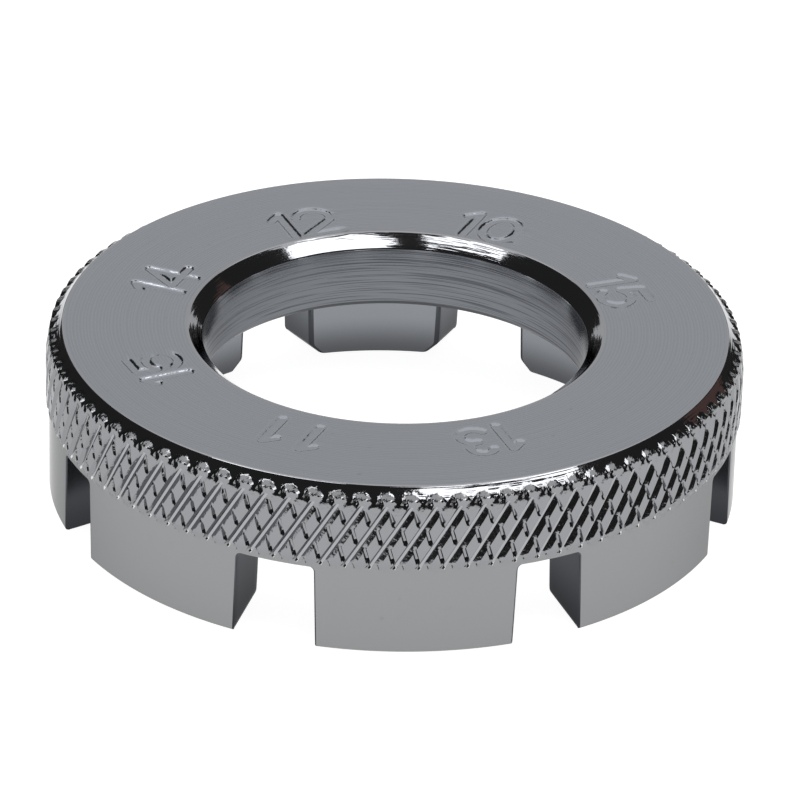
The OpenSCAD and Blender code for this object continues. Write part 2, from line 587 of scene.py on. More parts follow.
# Painted highlight: the floors of the main grooves are coloured lighter than the knurl to show a pale
# line.
LIT_GROOVE = ChromeFinish(
    "rolled_chrome_groove", colour=(0.345, 0.35, 0.365), rough_low=0.06, rough_high=0.12,
    edge_tint=0.7,
)
# Painted glint: the groove tips are coloured far brighter than the plating.
GLINT_TIP = ChromeFinish(
    "burnished_chrome_tip", colour=(0.62, 0.62, 0.62), rough_low=0.05, rough_high=0.10,
)
BRIGHT_CHROME = ChromeFinish(
    "bright_chrome_jaw", colour=(0.264, 0.268, 0.272), rough_low=0.12, rough_high=0.20,
    grain_depth=0.0015, edge_tint=0.60,
)
# Painted shade: the jaws' inner faces and the recess under the ring are coloured darker, and darker
# still towards the feet.
SHADED_HOLLOW = ChromeFinish(
    "thin_chrome_hollow", colour=(0.238, 0.249, 0.268), rough_low=0.16, rough_high=0.26,
    edge_tint=0.5, fade_heights=(0.0, 2.6), fade_share=0.38,
)
# Painted shade: slot walls, jaw corners and the bore's under bevel are coloured dark, and darker still
# towards the feet.
SHADED_SLOT = ChromeFinish(
    "milled_chrome_slot", colour=(0.086, 0.091, 0.100), rough_low=0.20, rough_high=0.30,
    edge_tint=0.5, fade_heights=(0.0, 4.6), fade_share=0.42,
)
# A copy with lighter painted shade, for one jaw's slot walls.
LESS_SHADED_SLOT = replace(SHADED_SLOT, name="light_chrome_slot", colour=(0.200, 0.211, 0.230))


def line_of(*points: Point2) -> Stroke:
    """Return a stroke of straight lines through the points."""
    return list(points)


def arc_of(centre: Point2, half: Point2, first: float, last: float) -> Stroke:
    """Draw a stroke along part of an ellipse.

    Args:
        centre: Middle of the ellipse.
        half: Its half width and half height.
        first: Angle of the stroke's start, in degrees.
        last: Angle of its end.

    Returns:
        The stroke's points.
    """
    stroke_lines = 18
    turns = [math.radians(first + (last - first) * k / stroke_lines) for k in range(stroke_lines + 1)]
    return [(centre[0] + half[0] * math.cos(t), centre[1] + half[1] * math.sin(t)) for t in turns]


class Figure(Enum):
    """Strokes of the stamped figures, drawn on a height of 1 over a base line."""

    ZERO = (arc_of((0.0, 0.5), (0.34, 0.5), 0, 360),)
    ONE = (line_of((-0.22, 0.80), (0.0, 1.0), (0.0, 0.0)),)
    TWO = (
        arc_of((0.0, 0.68), (0.34, 0.32), 165, -35),
        line_of((0.28, 0.50), (-0.36, 0.0), (0.38, 0.0)),
    )
    THREE = (
        arc_of((0.0, 0.75), (0.24, 0.25), 150, -90),
        arc_of((0.0, 0.26), (0.28, 0.26), 90, -150),
    )
    FOUR = (line_of((0.06, 0.0), (0.06, 1.0), (-0.40, 0.30), (0.40, 0.30)),)
    FIVE = (
        line_of((0.30, 1.0), (-0.24, 1.0), (-0.30, 0.56)),
        arc_of((0.0, 0.33), (0.36, 0.33), 138, -150),
    )


@dataclass(frozen=True)
class Stamp:
    """One stamped number: where it stands on the face and where its two figures are."""

    figures: tuple[Figure, Figure]
    angle: float
    base_r: float
    places: tuple[float, float]
    depth: float
    height: float = 2.85
    stroke_w: float = 0.80
    lip: float = 0.007
    lip_place: float = 1.1
    lip_w: float = 0.25
    wall_share: float = 0.65
    reach: float = 8.9

    def covers(self, angle: float) -> bool:
        """Return whether an angle lies within this number's part of the face."""
        return abs((angle - self.angle + HALF_TURN) % FULL_TURN - HALF_TURN) < self.reach

    def press(self, radius: np.ndarray, angle: np.ndarray) -> np.ndarray:
        """Find how deep the number is pressed at points of the face.

        Args:
            radius: Distances of the points from the axis.
            angle: Angles of the points.

        Returns:
            The depth at each point; the thrown-up lip beside a stroke is below zero.
        """
        turn = np.radians(self.angle - angle)
        across = radius * np.sin(turn)
        up = (radius * np.cos(turn) - self.base_r) / self.height
        nearest = np.full(radius.shape, np.inf)
        for figure, place in zip(self.figures, self.places):
            along = (across - place) / self.height
            for stroke in figure.value:
                for start, end in zip(stroke, stroke[1:]):
                    nearest = np.minimum(nearest, self.gap_to_line(along, up, start, end))
        gap = nearest * self.height / (self.stroke_w / 2)
        groove = self.depth * smooth_step(0.0, self.wall_share, 1.0 - gap)
        lip = self.lip * np.exp(-((gap - self.lip_place) / self.lip_w) ** 2)
        return groove - lip

    @staticmethod
    def gap_to_line(x: np.ndarray, y: np.ndarray, start: Point2, end: Point2) -> np.ndarray:
        """Measure the distance of points from a straight line between two points.

        Args:
            x: Points' places across.
            y: Points' places upwards.
            start: One end of the line.
            end: Its other end.

        Returns:
            The distances.
        """
        step_x, step_y = end[0] - start[0], end[1] - start[1]
        span = step_x * step_x + step_y * step_y
        share = np.clip(((x - start[0]) * step_x + (y - start[1]) * step_y) / span, 0.0, 1.0)
        return np.hypot(x - start[0] - share * step_x, y - start[1] - share * step_y)


STAMPS = (
    Stamp((Figure.ONE, Figure.ONE), angle=-4.8, base_r=13.85, places=(-1.40, 1.00), depth=0.09),
    Stamp((Figure.ONE, Figure.THREE), angle=41.0, base_r=13.80, places=(-0.74, 0.95), depth=0.09),
    Stamp((Figure.ONE, Figure.FIVE), angle=129.2, base_r=13.10, places=(-1.30, 0.57), depth=0.09),
    Stamp(
        (Figure.ONE, Figure.ZERO), angle=175.4, base_r=13.00, places=(-1.22, 0.70), depth=0.12,
        height=3.1,
    ),
    Stamp(
        (Figure.ONE, Figure.TWO), angle=221.4, base_r=13.00, places=(-1.33, 0.58), depth=0.12,
        height=3.12,
    ),
    Stamp(
        (Figure.ONE, Figure.FOUR), angle=266.4, base_r=13.40, places=(-1.68, 0.18), depth=0.13,
        height=3.05,
    ),
    Stamp((Figure.ONE, Figure.FIVE), angle=314.4, base_r=13.85, places=(-0.76, 1.12), depth=0.125),
)


@dataclass
class TopRing:
    """The bored ring: its numbered face, its bore and the recess under it."""

    height: float
    bore_r: float
    face_r: float = 20.0
    bore_bevel: float = 0.90
    bore_bevel_h: float = 0.74
    bore_under_bevel: float = 0.45
    edge_round: float = 0.07
    skirt_inner_r: float = 16.8
    slot_root_z: float = 5.3
    recess_z: float = 5.8
    recess_fillet: float = 0.4
    stamp_zone: tuple[float, float] = (12.65, 17.3)
    stamp_step: float = 0.05
    stamp_angle_step: float = 0.19
    plain_angle_step: float = 2.0
    stamp_edge: float = 0.003
    core_gap: float = 0.05
    core_drop: float = 0.3
    fillet_steps: int = 6
    crease: float = 35.0
    stamps: tuple[Stamp, ...] = STAMPS

    def corner(self, at: Point2, before: Point2, after: Point2, steps: int = 3) -> list[Point2]:
        """Round a corner of the section slightly.

        Args:
            at: The sharp corner.
            before: A point on the line into it.
            after: A point on the line out of it.
            steps: Lines along the round.

        Returns:
            Points along the round.
        """
        ends = []
        for other in (before, after):
            span = math.dist(at, other)
            ends.append(tuple(a + (o - a) * self.edge_round / span for a, o in zip(at, other)))
        points = []
        for k in range(steps + 1):
            t = k / steps
            weights = ((1 - t) ** 2, 2 * t * (1 - t), t * t)
            points.append(tuple(
                weights[0] * ends[0][i] + weights[1] * at[i] + weights[2] * ends[1][i] for i in (0, 1)
            ))
        return points

    def section(self) -> tuple[list[Point2], list[ChromeFinish]]:
        """Draw the ring's section, from the lower end of the bore up, across and back under.

        Returns:
            The points in order, and the finish of the band that starts at each point.
        """
        bore_low = (self.bore_r, self.recess_z + self.bore_under_bevel)
        under = (self.bore_r + self.bore_under_bevel, self.recess_z)
        bore_high = (self.bore_r, self.height - self.bore_bevel_h)
        lip = (self.bore_r + self.bore_bevel, self.height)
        edge = (self.face_r, self.height)
        slope = (self.face_r + self.core_drop, self.height - self.core_drop)
        points: list[Point2] = []
        finishes: list[ChromeFinish] = []

        def add(new: list[Point2], finish: ChromeFinish) -> None:
            """Add points whose bands have one finish."""
            points.extend(new)
            finishes.extend([finish] * len(new))

        # The under bevel of the bore carries the painted slot shade.
        add(self.corner(under, (self.skirt_inner_r, self.recess_z), bore_low), SHADED_SLOT)
        add(self.corner(bore_low, under, bore_high), SHADED_BORE_WALL)
        add(self.corner(bore_high, bore_low, lip), TURNED_BEVEL)
        add(self.corner(lip, bore_high, edge), POLISHED_EDGE)
        zone_low, zone_high = self.stamp_zone
        rows = round((zone_high - zone_low) / self.stamp_step)
        for k in range(rows + 1):
            add([(zone_low + (zone_high - zone_low) * k / rows, self.height)], TURNED_FACE)
        add([((zone_high + self.face_r) / 2, self.height)], TURNED_FACE)
        add(self.corner(edge, lip, slope), POLISHED_EDGE)
        core_r = self.face_r - self.core_gap
        # The hidden core wall carries the painted slot shade, the recess the painted hollow shade.
        add([(core_r, self.height - self.core_drop), (core_r, self.slot_root_z)], SHADED_SLOT)
        add([(self.skirt_inner_r, self.slot_root_z)], SHADED_HOLLOW)
        centre = (self.skirt_inner_r - self.recess_fillet, self.recess_z - self.recess_fillet)
        for k in range(self.fillet_steps + 1):
            turn = math.radians(QUARTER_TURN * k / self.fillet_steps)
            add([(
                centre[0] + self.recess_fillet * math.cos(turn),
                centre[1] + self.recess_fillet * math.sin(turn),
            )], SHADED_HOLLOW)
        return points, finishes

    def angles(self) -> np.ndarray:
        """Return the angles of the ring's radial lines, closer together at the numbers."""
        angles = [0.0]
        while angles[-1] < FULL_TURN:
            near = any(stamp.covers(angles[-1]) for stamp in self.stamps)
            angles.append(angles[-1] + (self.stamp_angle_step if near else self.plain_angle_step))
        return np.array(angles) * FULL_TURN / angles[-1]

    def build(self) -> Object:
        """Make the ring.

        Returns:
            The ring's object.
        """
        section, finishes = self.section()
        angles = self.angles()[:-1]
        radius, angle = np.meshgrid([p[0] for p in section], angles)
        height = np.meshgrid([p[1] for p in section], angles)[0].copy()
        on_face = height >= self.height - SAME_PLACE
        pressed = np.zeros(radius.shape)
        for stamp in self.stamps:
            rows = np.array([stamp.covers(a) for a in angles])
            pressed[rows] += stamp.press(radius[rows], angle[rows])
        height -= np.where(on_face, pressed, 0.0)
        points = round_the_axis(radius, angle, height).reshape(-1, 3)
        marked = (on_face & (np.abs(pressed) > self.stamp_edge)).ravel()
        turns, ring = radius.shape
        faces = grid_faces(turns, ring, round_rows=True, round_columns=True)
        used = sorted({*finishes, STAMPED_FIGURE}, key=lambda finish: finish.name)
        plain = np.tile([used.index(finish) for finish in finishes], turns)
        stamped = marked[np.array(faces)].all(axis=1)
        looks = np.where(stamped, used.index(STAMPED_FIGURE), plain)
        mesh = new_mesh("top_ring", points, faces)
        for finish in used:
            mesh.materials.append(finish.material())
        mesh.polygons.foreach_set("material_index", looks.tolist())
        smooth_faces(mesh, self.crease)
        return add_object("chromed_ring", mesh)


class KnurlMark(Enum):
    """Faces of the knurl that have a finish of their own, in the order in which they get it."""

    RIM = "on_rim"
    GROOVE = "in_groove"
    BEVEL = "on_bevel"
    TIP = "on_tip"

    @property
    def label(self) -> str:
        """Return how the inputs of the node tree call this mark."""
        return self.name.title()


@dataclass
class KnurledBand:
    """The rolled diamond knurl round the rim, one sector repeated round the bore axis."""

    knurl_r: float
    height: float
    skirt_r: float = 20.8
    face_r: float = 20.0
    back_r: float = 19.9
    low_z: float = 5.3
    knurl_z: float = 5.6
    top_gap: float = 0.05
    teeth: int = 92
    first_angle: float = -0.25
    row_h: float = 1.20
    row_start: float = 0.237
    run_start: float = 0.1
    run_in: float = 0.4
    crest_round: float = 0.06
    crest_fall: tuple[float, float] = (8.6, 10.3)
    main_depth: float = 0.245
    main_right: float = 0.44
    main_left: float = 0.27
    main_floor: float = 0.095
    main_low: tuple[float, float] = (5.48, 5.70)
    main_high: tuple[float, float] = (9.85, 10.05)
    cross_depth: tuple[float, float] = (0.10, 0.20)
    cross_long: float = 0.55
    cross_half: float = 0.19
    cross_floor: float = 0.5
    cross_steep: float = 0.35
    cross_places: tuple[float, ...] = (0.0, 0.22, 0.85, 1.0)
    cross_leans: tuple[float, ...] = (0.0, -0.28, 0.35, 0.0)
    cross_end: float = 0.70
    cross_wall: float = 0.12
    cross_high: tuple[float, float] = (9.95, 10.10)
    tongue_r: float = 20.80
    tongue_z: float = 9.78
    tongue_tall: float = 0.27
    tongue_half: float = 0.68
    tongue_left: float = 0.06
    tongue_shelf: float = 2.4
    tongue_foot: tuple[float, float] = (9.35, 9.65)
    tongue_start: float = 9.55
    tongue_round: float = 0.03
    tip_z: float = 5.53
    tip_size: float = 0.155
    tip_lip: float = 0.06
    flank_lines: tuple[float, ...] = (0.35, 0.7)
    crest_lines: tuple[float, ...] = (0.05, 0.13, 0.21)
    end_lines: tuple[float, ...] = (-0.12, -0.08, -0.04, 0.0, 0.03)
    land_lines: tuple[float, ...] = (0.26, 0.5, 0.74)
    fine_lines: int = 14
    fine_gap: float = 0.02
    spare_rows: tuple[float, float] = (0.4, 1.4)
    bevel_near: float = 0.02
    seam_near: float = 0.002
    merge_near: float = 0.004
    trim_near: float = 0.0001
    trim_exact: float = 0.00001
    crease: float = 25.0
    # The groove floors get a painted highlight and the tips a painted glint.
    finishes: dict[KnurlMark, ChromeFinish] = field(default_factory=lambda: {
        KnurlMark.RIM: BRIGHT_CHROME, KnurlMark.GROOVE: LIT_GROOVE,
        KnurlMark.BEVEL: TURNED_BEVEL, KnurlMark.TIP: GLINT_TIP,
    })

    @property
    def pitch(self) -> float:
        """Return the pitch of the knurl round the rim."""
        return 2.0 * math.pi * self.knurl_r / self.teeth

    def lean(self, s: np.ndarray) -> np.ndarray:
        """Return how far the cross grooves are turned steeper at a place between main grooves."""
        return np.interp(s, self.cross_places, self.cross_leans) * self.cross_steep

    def height_at(self, s: np.ndarray, cross: np.ndarray) -> np.ndarray:
        """Return the height over the feet at a place between the two kinds of groove."""
        return self.knurl_z + (cross + self.row_start - self.lean(s) - s) * self.row_h

    def body_r(self, z: np.ndarray) -> np.ndarray:
        """Find the radius of the rim before it is knurled: a low crown that ends in a bevel.

        Args:
            z: Height over the feet.

        Returns:
            The radius at each height.
        """
        rise = smooth_step(self.knurl_z - self.run_start, self.knurl_z + self.run_in, z)
        rise = rise * (1.0 - smooth_step(*self.crest_fall, z))
        crest = self.skirt_r + (self.knurl_r - self.skirt_r) * rise
        return soft_lower(crest, self.face_r + self.height - z, self.crest_round)

    def main_groove(self, s: np.ndarray, z: np.ndarray) -> np.ndarray:
        """Find the depth of the main grooves, which run up to the right without a break.

        Args:
            s: Place between two main grooves, from 0 to 1.
            z: Height over the feet.

        Returns:
            The depth at each point.
        """
        right = (s * self.pitch - self.main_floor) / (self.main_right - self.main_floor)
        left = ((1.0 - s) * self.pitch - self.main_floor) / (self.main_left - self.main_floor)
        wall = np.clip(np.minimum(right, left), 0.0, 1.0)
        span = smooth_step(*self.main_low, z) * (1.0 - smooth_step(*self.main_high, z))
        depth = np.maximum(self.body_r(z) - self.knurl_r + self.main_depth, 0.0)
        return depth * (1.0 - wall) * span

    def cross_groove(self, s: np.ndarray, cross: np.ndarray, z: np.ndarray) -> np.ndarray:
        """Find the depth of the cross grooves: short troughs, each of which ends in a small wall.

        Args:
            s: Place between two main grooves, from 0 to 1; not used.
            cross: Place between the cross grooves, a whole number in the middle of each.
            z: Height over the feet.

        Returns:
            The depth at each point.
        """
        middle = np.round(cross)
        off = np.abs(cross - middle) * self.pitch / self.cross_half
        profile = np.clip((1.0 - off) / self.cross_floor, 0.0, 1.0)
        end = self.height_at(self.cross_end, middle)
        span = np.clip(0.5 + (z - end) / self.cross_wall / 2, 0.0, 1.0)
        span = span * smooth_step(*self.main_low, z) * (1.0 - smooth_step(*self.cross_high, z))
        fall = 1.0 - np.clip((z - end) / self.cross_long, 0.0, 1.0)
        shallow, deep = self.cross_depth
        return (shallow + (deep - shallow) * fall) * profile * span

    def tongue(self, s: np.ndarray, z: np.ndarray) -> np.ndarray:
        """Find the radius of the tongues that the rolling pushed up at the ends of the main grooves.

        Args:
            s: Place between two main grooves, from 0 to 1.
            z: Height over the feet.

        Returns:
            The radius of the tongues, well below the bevel where there is none.
        """
        drift = (z - self.tongue_start) / self.row_h / 2
        nearest = np.where(s + drift < 0.5, s + drift, s + drift - 1.0)
        aside = nearest * self.pitch + self.tongue_left
        share = 1.0 - (aside / self.tongue_half) ** 2
        dome = np.where(share > 0.0, np.sqrt(np.abs(share)), share * self.tongue_shelf)
        low = 1.0 - smooth_step(*self.tongue_foot, z)
        shelf = self.tongue_r - self.tongue_shelf * (z - self.tongue_z - self.tongue_tall * dome)
        return soft_lower(self.tongue_r - low, shelf, self.tongue_round)

    def radius(self, s: np.ndarray, cross: np.ndarray, z: np.ndarray) -> np.ndarray:
        """Find the radius of the knurled surface.

        Args:
            s: Place between two main grooves, from 0 to 1.
            cross: Place between the cross grooves, a whole number in the middle of each.
            z: Height over the feet.

        Returns:
            The radius at each point.
        """
        body, tongue = self.body_r(z), self.tongue(s, z)
        rolled = soft_higher(body - self.main_groove(s, z), tongue, self.tongue_round)
        trough = np.maximum(body, tongue) - self.cross_groove(s, cross, z)
        to_line = np.minimum(s, 1.0 - s) * self.pitch
        tip = np.hypot(to_line, z - self.tip_z) / self.tip_size
        return np.minimum(rolled, trough) + self.tip_lip * np.exp(-tip ** 2)

    def seam_r(self, z: np.ndarray) -> np.ndarray:
        """Find the radius along the middle of a main groove, where two sectors meet.

        Args:
            z: Height over the feet.

        Returns:
            The radius at each height, the same for both sectors.
        """
        cross = (z - self.knurl_z) / self.row_h - self.row_start
        before = self.radius(np.ones_like(z), cross + 1.0, z)
        after = self.radius(np.zeros_like(z), cross, z)
        return np.minimum(before, after)

    def turn_at(self, s: np.ndarray, z: np.ndarray) -> np.ndarray:
        """Return the angle round the axis at a place between main grooves and a height."""
        return (s + (z - self.knurl_z) / self.row_h / 2) * FULL_TURN / self.teeth + self.first_angle

    def main_lines(self) -> np.ndarray:
        """Return the places of the mesh lines between two main grooves."""
        floor = self.main_floor / self.pitch
        right = self.main_right / self.pitch
        left = 1.0 - self.main_left / self.pitch
        return np.array([
            0.0, floor, *(floor + (right - floor) * share for share in self.flank_lines), right,
            *(right + step for step in self.crest_lines),
            *(self.cross_end + step for step in self.end_lines),
            left, *(left + (1.0 - floor - left) * share for share in self.flank_lines),
            1.0 - floor, 1.0,
        ])

    def cross_lines(self, low: float, high: float) -> np.ndarray:
        """Find the places of the mesh lines between two heights along the main grooves.

        Args:
            low: First place, in rows.
            high: Last place, in rows.

        Returns:
            The places, closer together at the cross grooves.
        """
        half = self.cross_half / self.pitch
        foot = half * (1.0 - self.cross_floor)
        parts = np.array([0.0, foot, half, *self.land_lines, 1.0 - half, 1.0 - foot])
        rows = range(math.floor(low) - 1, math.ceil(high) + 2)
        places = np.concatenate([parts + row for row in rows])
        fine = (self.tongue_foot[0] - self.knurl_z) / self.row_h - self.row_start
        coarse = places[(places >= low) & (places < fine - self.fine_gap)]
        steps = math.ceil((high - fine) * self.fine_lines)
        return np.concatenate([coarse, np.linspace(fine, high, steps)])

    def sector(self) -> Mesh:
        """Make one sector: the strip between two main grooves, closed below, above and behind.

        Returns:
            The sector's mesh.
        """
        top_z = self.height - self.top_gap
        under, over = self.spare_rows
        first = (self.low_z - self.knurl_z) / self.row_h - under - self.row_start
        last = (top_z - self.knurl_z) / self.row_h + over - self.row_start
        s, cross = np.meshgrid(self.main_lines(), self.cross_lines(first, last))
        z = self.height_at(s, cross)
        radius = self.radius(s, cross, z)
        for side in (0, -1):
            radius[:, side] = self.seam_r(z[:, side])
        points = round_the_axis(radius, self.turn_at(s, z), z).reshape(-1, 3)
        faces = grid_faces(*s.shape, round_rows=False, round_columns=False)
        mesh = new_mesh("knurl_sector", points, faces)
        to_line = np.minimum(s, 1.0 - s)
        floor = to_line < self.main_floor / self.pitch + SAME_PLACE
        tip = np.hypot(to_line * self.pitch, z - self.tip_z)
        bevel = np.abs(radius - self.face_r - self.height + z) < self.bevel_near
        quads = np.array(faces)
        marks = {
            KnurlMark.RIM: (z < self.main_low[1]).ravel()[quads].all(axis=1),
            KnurlMark.GROOVE: (
                floor & (z > self.main_low[0]) & (z < self.tongue_foot[1])
            ).ravel()[quads].all(axis=1),
            KnurlMark.BEVEL: bevel.ravel()[quads].all(axis=1),
            KnurlMark.TIP: tip.ravel()[quads].mean(axis=1) < self.tip_size,
        }
        for mark, marked in marks.items():
            layer = mesh.attributes.new(mark.value, "BOOLEAN", "FACE")
            layer.data.foreach_set("value", marked.tolist())
        self.match_sides(mesh, z)
        self.close_sector(mesh, top_z)
        return mesh

    def match_sides(self, mesh: Mesh, z: np.ndarray) -> None:
        """Give each side of a sector a corner wherever the next sector's side has one.

        Args:
            mesh: The sector's mesh.
            z: Heights of the mesh's corners, a row for each mesh line across the sector.
        """
        work = bmesh.new()
        work.from_mesh(mesh)
        work.verts.ensure_lookup_table()
        rows, count = z.shape
        near, half_way = self.seam_near, 0.5
        corners = list(work.verts)
        for side, other, place in ((0, count - 1, 0.0), (count - 1, 0, 1.0)):
            for row in range(rows - 1):
                last, goal = corners[row * count + side], corners[(row + 1) * count + side]
                between = (z[:, other] > z[row, side] + near) & (z[:, other] < z[row + 1, side] - near)
                for height in z[between, other]:
                    edge = work.edges.get((last, goal))
                    added = bmesh.utils.edge_split(edge, last, half_way)[1]
                    spot = np.array([height])
                    turn = self.turn_at(place, spot)
                    added.co = round_the_axis(self.seam_r(spot), turn, spot)[0] * MM
                    last = added
        work.to_mesh(mesh)
        work.free()

    def close_sector(self, mesh: Mesh, top_z: float) -> None:
        """Trim a sector at its lower and upper ends and close its ends and its back.

        Args:
            mesh: The sector's mesh.
            top_z: Height of the upper end.
        """
        work = bmesh.new()
        work.from_mesh(mesh)
        for z, up in ((self.low_z, -1.0), (top_z, 1.0)):
            bmesh.ops.bisect_plane(
                work, geom=work.verts[:] + work.edges[:] + work.faces[:], dist=self.trim_exact * MM,
                plane_co=(0.0, 0.0, z * MM), plane_no=(0.0, 0.0, up), clear_outer=True,
            )
        chains = []
        for z in (self.low_z, top_z):
            outer = [v for v in work.verts if abs(v.co.z - z * MM) < self.trim_near * MM]
            outer.sort(key=lambda v: math.atan2(v.co.x, -v.co.y))
            inner = []
            for vert in outer:
                flat = Vector((vert.co.x, vert.co.y, 0.0)).normalized() * self.back_r * MM
                inner.append(work.verts.new((flat.x, flat.y, vert.co.z)))
            for k in range(len(outer) - 1):
                ends = (outer[k], outer[k + 1], inner[k + 1], inner[k])
                work.faces.new(ends[::-1] if z == self.low_z else ends)
            chains.append(inner)
        low, high = chains
        for k in range(len(low) - 2):
            work.faces.new((low[k], high[0], low[k + 1]))
        work.faces.new((low[-2], high[0], high[-1], low[-1]))
        for k in range(len(high) - 2):
            work.faces.new((high[0], high[k + 1], high[k + 2]))
        work.to_mesh(mesh)
        work.free()

    @staticmethod
    def repeat_tree() -> NodeTree:
        """Make the node tree that repeats a sector round the axis.

        Returns:
            The tree. Its inputs are the sector, the number of teeth, the merge distance, the finish,
            and the names of the marks and the finishes of the faces on the smooth rim, in the
            grooves, on the bevel and on the grooves' tips.
        """
        inputs = {"Sector": "Geometry", "Teeth": "Int", "Merge Distance": "Float", "Finish": "Material"}
        for mark in KnurlMark:
            inputs[f"{mark.label} Mark"] = "String"
            inputs[f"{mark.label} Finish"] = "Material"
        tree, entry, leave = new_group(
            "repeat_round_axis", "GeometryNodeTree", inputs, {"Band": "Geometry"}
        )
        given = entry.outputs
        places = result_of(tree, "GeometryNodePoints", {"Count": given["Teeth"]})
        step = result_of(
            tree, "ShaderNodeMath", {0: 2.0 * math.pi, 1: given["Teeth"]}, operation="DIVIDE"
        )
        index = result_of(tree, "GeometryNodeInputIndex", {})
        turn = result_of(tree, "ShaderNodeMath", {0: index, 1: step}, operation="MULTIPLY")
        axis = result_of(tree, "ShaderNodeCombineXYZ", {"Z": turn})
        rotation = result_of(tree, "FunctionNodeEulerToRotation", {"Euler": axis})
        copies = result_of(
            tree, "GeometryNodeInstanceOnPoints",
            {"Points": places, "Instance": given["Sector"], "Rotation": rotation},
        )
        real = result_of(tree, "GeometryNodeRealizeInstances", {"Geometry": copies})
        merged = result_of(
            tree, "GeometryNodeMergeByDistance",
            {"Geometry": real, "Distance": given["Merge Distance"]},
        )
        dressed = result_of(
            tree, "GeometryNodeSetMaterial", {"Geometry": merged, "Material": given["Finish"]}
        )
        for mark in KnurlMark:
            marked = result_of(
                tree, "GeometryNodeInputNamedAttribute", {"Name": given[f"{mark.label} Mark"]},
                data_type="BOOLEAN",
            )
            dressed = result_of(tree, "GeometryNodeSetMaterial", {
                "Geometry": dressed, "Selection": marked, "Material": given[f"{mark.label} Finish"],
            })
        feed_node(tree, leave, {"Band": dressed})
        return tree

    def build(self) -> Object:
        """Make the band.

        Returns:
            The band's object.
        """
        band = add_object("diamond_knurl", self.sector())
        tree = self.repeat_tree()
        values = {
            "Teeth": self.teeth, "Merge Distance": self.merge_near * MM,
            "Finish": KNURLED_CHROME.material(),
        }
        for mark, finish in self.finishes.items():
            values[f"{mark.label} Mark"] = mark.value
            values[f"{mark.label} Finish"] = finish.material()
        change = band.modifiers.new("repeat", "NODES")
        change.node_group = tree
        for item in tree.interface.items_tree:
            if item.item_type == "SOCKET" and item.in_out == "INPUT" and item.name in values:
                change[item.identifier] = values[item.name]
        graph = bpy.context.evaluated_depsgraph_get()
        mesh = bpy.data.meshes.new_from_object(band.evaluated_get(graph))
        band.modifiers.clear()
        band.data = mesh
        for mark in KnurlMark:
            mesh.attributes.remove(mesh.attributes[mark.value])
        smooth_faces(mesh, self.crease)
        return band


@dataclass(frozen=True)
class Slot:
    """One slot of the skirt: its place and its width at the root."""

    angle: float
    width: float


class JawLook(IntEnum):
    """Places of the finishes in the list of a jaw's materials."""

    RIM = 0
    WALL = 1
    HOLLOW = 2
    CORNER = 3


